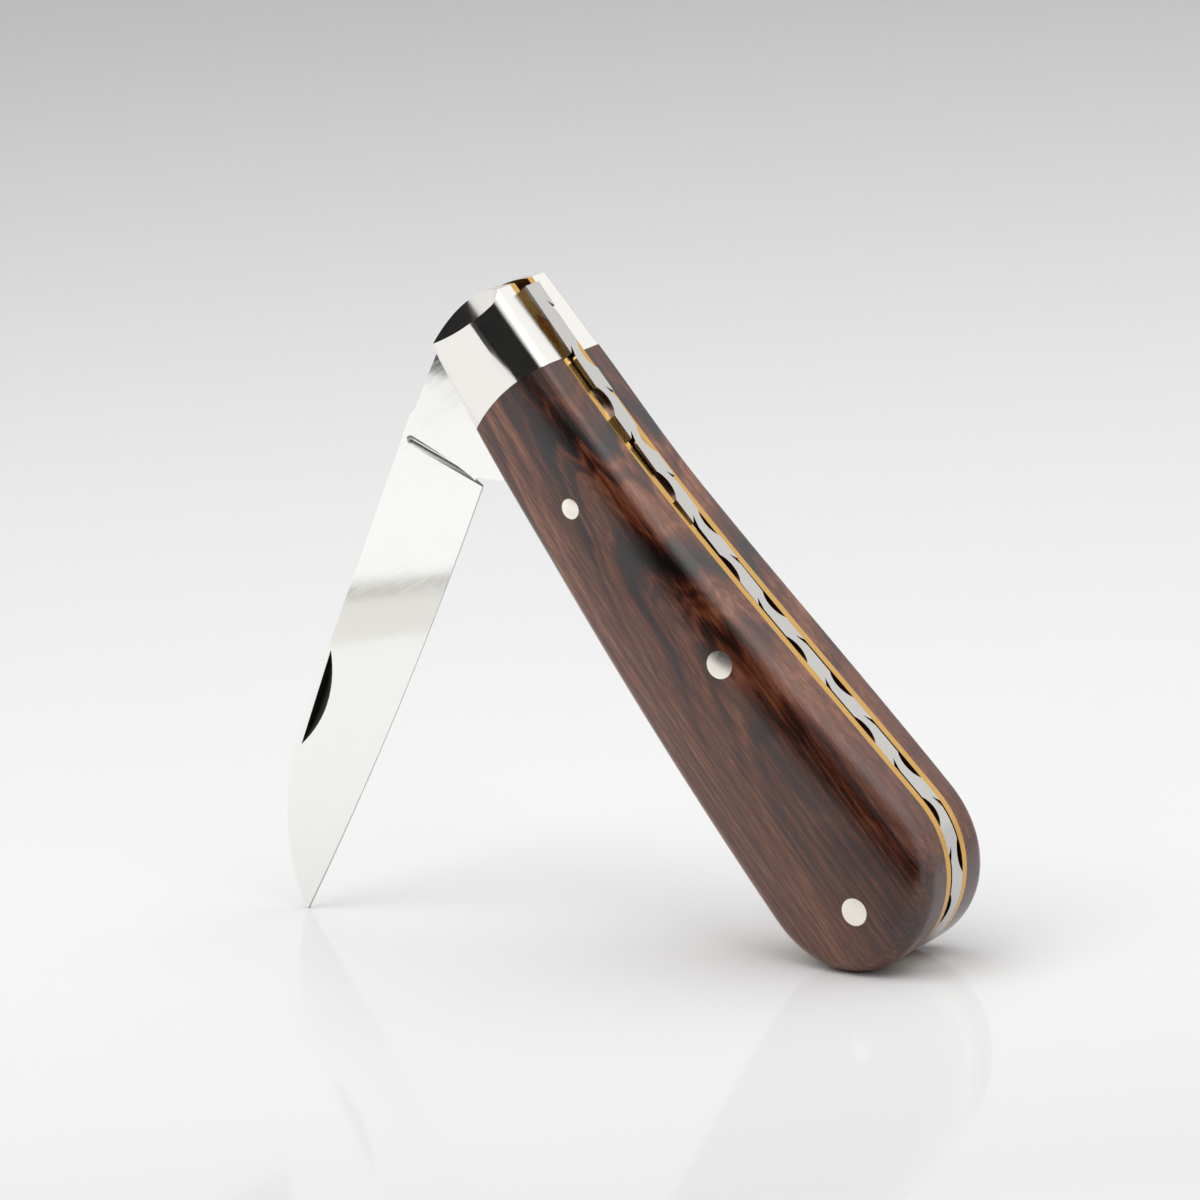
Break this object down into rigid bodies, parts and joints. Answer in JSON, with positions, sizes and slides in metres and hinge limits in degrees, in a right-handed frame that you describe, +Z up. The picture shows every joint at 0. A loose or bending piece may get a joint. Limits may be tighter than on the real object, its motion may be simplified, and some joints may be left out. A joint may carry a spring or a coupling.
{
  "type": "folding pocket knife",
  "caption": "Slip-joint folding pocket knife with bright bolsters, dark wood scales, brass liners and a file-worked back spring, standing half open on its tip and butt.",
  "frame": {"origin": "centre of the underside of the whole knife's box as it stands half open, on the level of the blade's tip and the round butt", "axes": "+X from the blade's tip towards the butt, +Y through the handle from the nail-nick side to the far side, along the pivot pin, +Z up"},
  "size_m": [0.0888, 0.016, 0.0765],
  "materials": {
    "blade_steel": "mirror polished",
    "spring_steel": "polished",
    "nickel_silver": "mirror polished",
    "liner_brass": "polished edge",
    "scale_wood": "oiled and buffed"
  },
  "bodies": {
    "handle": {"back_spring": "spring_steel", "front_liner": "liner_brass", "rear_liner": "liner_brass", "front_bolster": "nickel_silver", "rear_bolster": "nickel_silver", "front_scale": "scale_wood", "rear_scale": "scale_wood", "pivot_pin": "nickel_silver", "middle_pin": "nickel_silver", "butt_pin": "nickel_silver", "front_scale_pin": "nickel_silver", "rear_scale_pin": "nickel_silver", "front_bolster_rivets": "nickel_silver", "rear_bolster_rivets": "nickel_silver"},
    "blade": {"blade": "blade_steel"}
  },
  "joints": [
    {"name": "blade_hinge", "type": "hinge", "parent": "handle", "child": "blade", "pos_m": [-0.00959, 0, 0.06824], "axis": [0, 1, 0], "range_deg": [-57.1, 114.9]}
  ]
}
